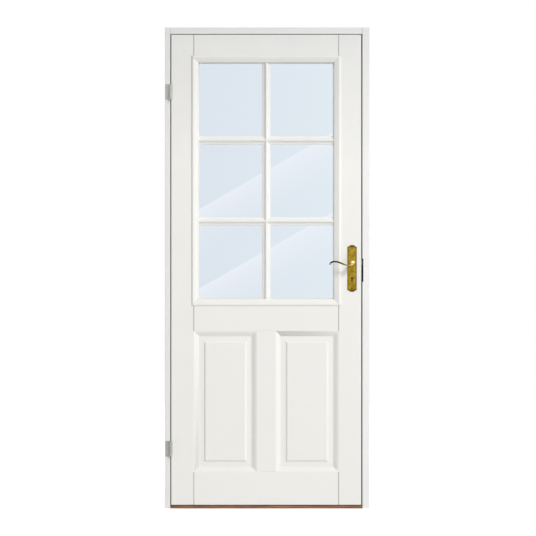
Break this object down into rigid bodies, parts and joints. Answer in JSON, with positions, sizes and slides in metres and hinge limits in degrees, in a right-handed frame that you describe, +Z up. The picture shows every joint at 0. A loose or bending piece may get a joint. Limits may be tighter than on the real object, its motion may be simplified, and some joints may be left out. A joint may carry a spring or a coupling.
{
  "type": "glazed interior door",
  "caption": "Framed interior door, panes in a moulded grid over raised panels, lever handle, mortise lock and pin hinges.",
  "frame": {"origin": "middle of the frame's base: half its width, half its depth, on the floor", "axes": "+X along the wall from the hinges to the lock, +Y through the wall away from the side the leaf opens to, +Z up"},
  "size_m": [0.888, 0.144, 2.088],
  "materials": {
    "white_paint": "solid pine under satin white paint",
    "threshold_wood": "oiled brown hardwood",
    "seal_rubber": "soft pale rubber",
    "clear_glass": "clear float glass",
    "aged_brass": "cast brass with dark patina",
    "zinc_steel": "zinc plated steel",
    "dark_steel": "blackened steel"
  },
  "bodies": {
    "frame": {"hinge_jamb": "white_paint", "lock_jamb": "white_paint", "frame_head": "white_paint", "threshold": "threshold_wood", "hinge_side_seal": "seal_rubber", "lock_side_seal": "seal_rubber", "head_seal": "seal_rubber", "frame_assembly_screws": "zinc_steel", "upper_hinge_frame_leaf": "zinc_steel", "lower_hinge_frame_leaf": "zinc_steel", "upper_hinge_pin": "zinc_steel", "lower_hinge_pin": "zinc_steel", "hinge_frame_screws": "zinc_steel", "strike_plate": "dark_steel", "strike_screws": "dark_steel"},
    "leaf": {"hinge_stile": "white_paint", "lock_stile": "white_paint", "top_rail": "white_paint", "lock_rail": "white_paint", "bottom_rail": "white_paint", "mullion": "white_paint", "left_panel": "white_paint", "right_panel": "white_paint", "glass_pane": "clear_glass", "upper_hinge_door_leaf": "zinc_steel", "lower_hinge_door_leaf": "zinc_steel", "hinge_door_screws": "zinc_steel", "lock_case": "zinc_steel", "lock_cover": "zinc_steel", "lock_faceplate": "zinc_steel", "faceplate_screws": "zinc_steel", "front_long_plate": "aged_brass", "back_long_plate": "aged_brass", "plate_screws": "dark_steel", "front_bead_bottom": "white_paint", "front_bead_left": "white_paint", "front_bead_top": "white_paint", "front_bead_right": "white_paint", "front_upright_bar": "white_paint", "front_level_bars": "white_paint", "back_bead_bottom": "white_paint", "back_bead_left": "white_paint", "back_bead_top": "white_paint", "back_bead_right": "white_paint", "back_upright_bar": "white_paint", "back_level_bars": "white_paint"},
    "handle": {"front_lever": "aged_brass", "back_lever": "aged_brass", "spindle": "zinc_steel", "follower": "zinc_steel"},
    "latch": {"latch_bolt": "aged_brass"},
    "deadbolt": {"deadbolt": "zinc_steel"}
  },
  "joints": [
    {"name": "leaf_swing", "type": "hinge", "parent": "frame", "child": "leaf", "pos_m": [-0.41875, -0.053, 1], "axis": [0, 0, -1], "range_deg": [0, 170]},
    {"name": "handle_turn", "type": "hinge", "parent": "leaf", "child": "handle", "pos_m": [0.368, -0.026, 1.067], "axis": [0, -1, 0], "range_deg": [0, 42], "stiffness_Nm_per_rad": 1.2, "springref_deg": -20.05},
    {"name": "latch_slide", "type": "slide", "parent": "leaf", "child": "latch", "axis": [1, 0, 0], "range_m": [-0.0115, 0]},
    {"name": "deadbolt_slide", "type": "slide", "parent": "leaf", "child": "deadbolt", "axis": [1, 0, 0], "range_m": [0, 0.014]}
  ],
  "couplings": [
    {"joint": "latch_slide", "follows": "handle_turn", "m_per_rad": -0.01568}
  ]
}
